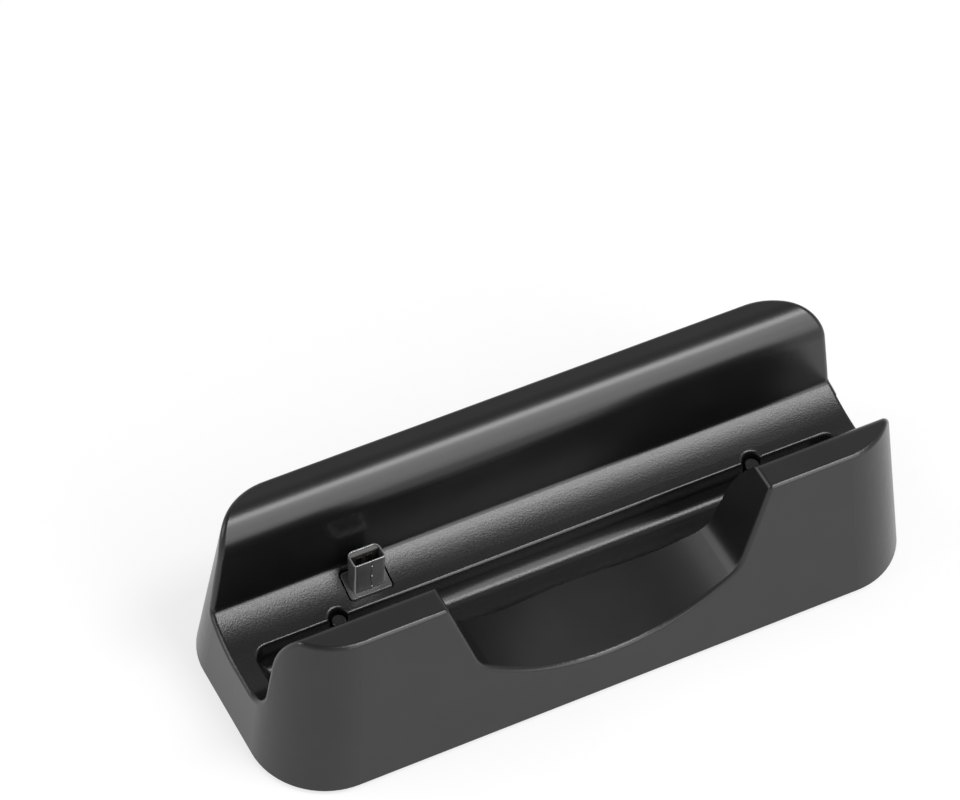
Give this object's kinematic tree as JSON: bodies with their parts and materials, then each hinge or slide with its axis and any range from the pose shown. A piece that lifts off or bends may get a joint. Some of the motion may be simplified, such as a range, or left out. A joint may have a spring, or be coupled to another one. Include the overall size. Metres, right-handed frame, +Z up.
{
  "type": "handheld console dock",
  "caption": "Rounded desktop dock with a lengthwise trough for a handheld console, an upright charging plug, a finger cut-out and a power inlet.",
  "frame": {"origin": "centre of the footprint, on the table under the feet", "axes": "+X along the trough towards the end with the power inlet, -Y towards the finger cut-out, +Z up"},
  "size_m": [0.155, 0.0582, 0.0423],
  "materials": {
    "housing_plastic": "fine satin",
    "base_plastic": "matte",
    "foot_rubber": "matte",
    "screw_steel": "plain",
    "carrier_plastic": "satin",
    "plug_steel": "dark satin",
    "insulator": "matte",
    "contact_brass": "gold plated",
    "board": "solder mask",
    "can_aluminium": "plain",
    "red_insulation": "satin",
    "black_insulation": "satin"
  },
  "bodies": {
    "root": {"housing": "housing_plastic", "base_plate": "base_plastic", "foot_front_left": "foot_rubber", "foot_front_right": "foot_rubber", "foot_back_left": "foot_rubber", "foot_back_right": "foot_rubber", "base_screws": "screw_steel", "plug_carrier": "carrier_plastic", "plug_shell": "plug_steel", "plug_tongue": "insulator", "plug_contact_left": "contact_brass", "plug_contact_right": "contact_brass", "plug_board": "board", "plug_board_screws": "screw_steel", "inlet_shell": "plug_steel", "inlet_body": "insulator", "inlet_contact_front": "contact_brass", "inlet_contact_back": "contact_brass", "inlet_board": "board", "inlet_capacitor": "can_aluminium", "power_lead": "red_insulation", "ground_lead": "black_insulation"}
  },
  "joints": []
}
